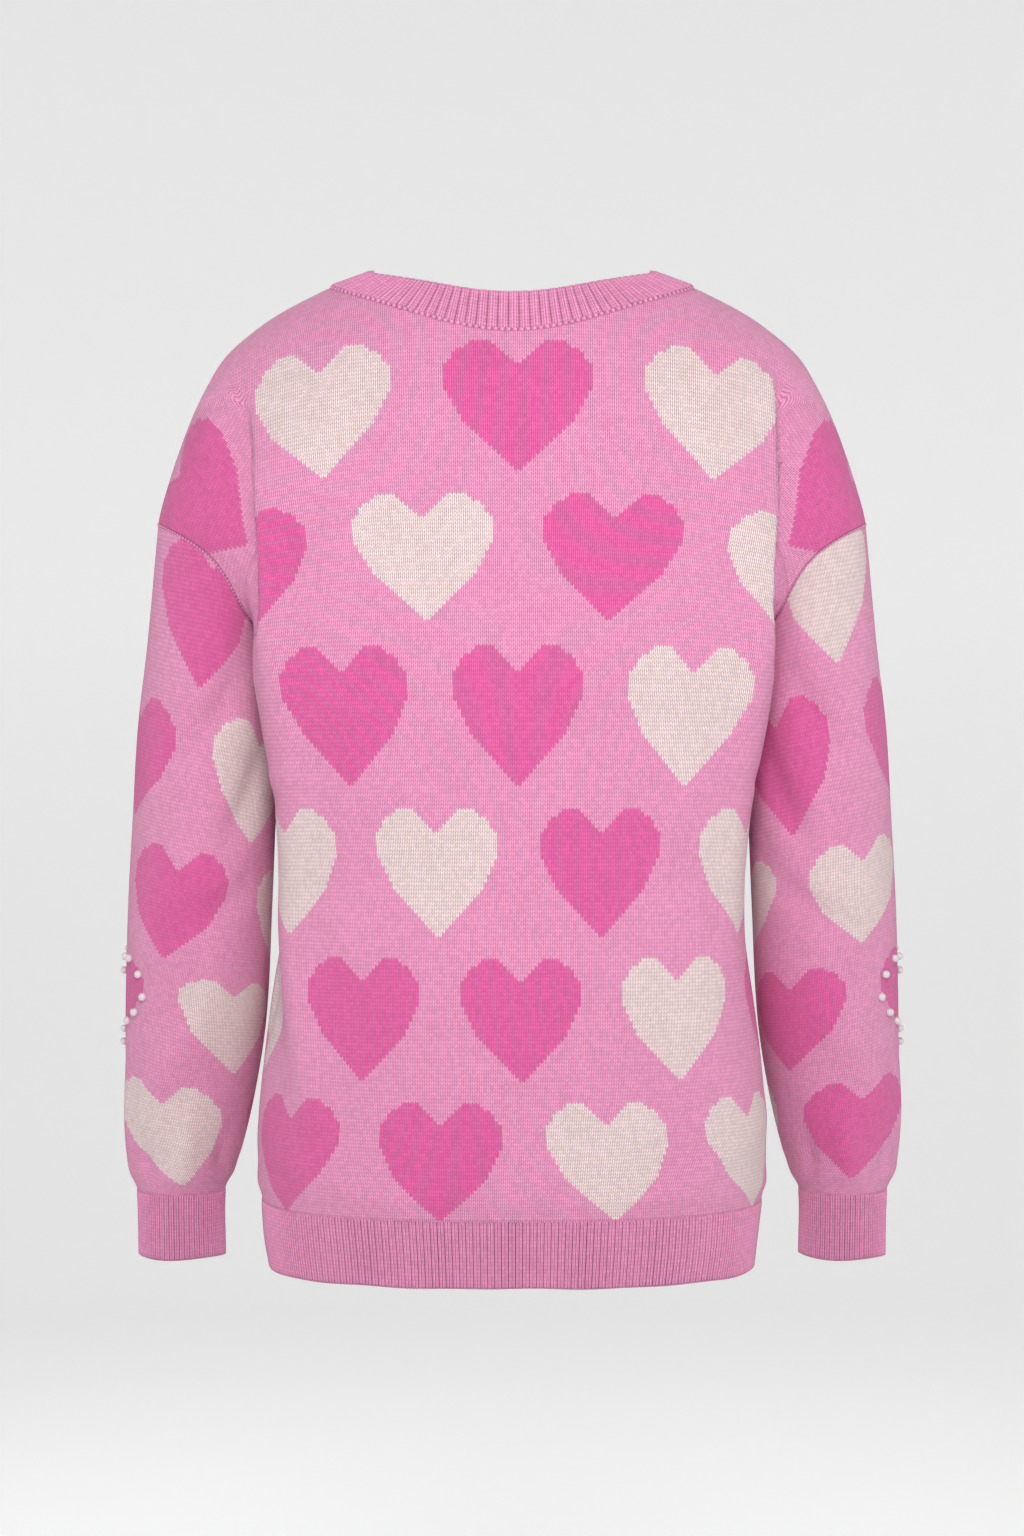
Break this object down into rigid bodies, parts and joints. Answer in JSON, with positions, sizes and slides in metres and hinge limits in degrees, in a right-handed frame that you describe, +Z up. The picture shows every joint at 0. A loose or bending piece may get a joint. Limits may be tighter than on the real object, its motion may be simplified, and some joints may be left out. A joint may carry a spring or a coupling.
{
  "type": "jacquard sweater, worn form",
  "caption": "Drop-shoulder jacquard sweater in pink with hot pink and cream hearts, pearl-ringed hearts on the sleeves, ribbed neck, hem and cuffs.",
  "frame": {"origin": "middle of the neck opening, level with the high shoulder points, where the wearer's shoulders hold the garment up", "axes": "+Z up, +X to the wearer's left, -Y to the front of the garment"},
  "size_m": [0.5442, 0.2402, 0.6771],
  "materials": {
    "jacquard_knit": "matte, brushed knit in three colours",
    "rib_knit": "matte, ribbed",
    "pearl": "pearl gloss"
  },
  "bodies": {
    "root": {"back_panel": "jacquard_knit", "front_panel": "jacquard_knit", "sleeve_left": "jacquard_knit", "sleeve_right": "jacquard_knit", "neck_rib": "rib_knit", "hem_rib_back": "rib_knit", "hem_rib_front": "rib_knit", "cuff_left": "rib_knit", "cuff_right": "rib_knit", "pearl_left_01": "pearl", "pearl_left_02": "pearl", "pearl_left_03": "pearl", "pearl_left_04": "pearl", "pearl_left_05": "pearl", "pearl_left_06": "pearl", "pearl_left_07": "pearl", "pearl_left_08": "pearl", "pearl_left_09": "pearl", "pearl_left_10": "pearl", "pearl_left_11": "pearl", "pearl_left_12": "pearl", "pearl_left_13": "pearl", "pearl_left_14": "pearl", "pearl_left_15": "pearl", "pearl_left_16": "pearl", "pearl_right_01": "pearl", "pearl_right_02": "pearl", "pearl_right_03": "pearl", "pearl_right_04": "pearl", "pearl_right_05": "pearl", "pearl_right_06": "pearl", "pearl_right_07": "pearl", "pearl_right_08": "pearl", "pearl_right_09": "pearl", "pearl_right_10": "pearl", "pearl_right_11": "pearl", "pearl_right_12": "pearl", "pearl_right_13": "pearl", "pearl_right_14": "pearl", "pearl_right_15": "pearl", "pearl_right_16": "pearl"}
  },
  "joints": []
}
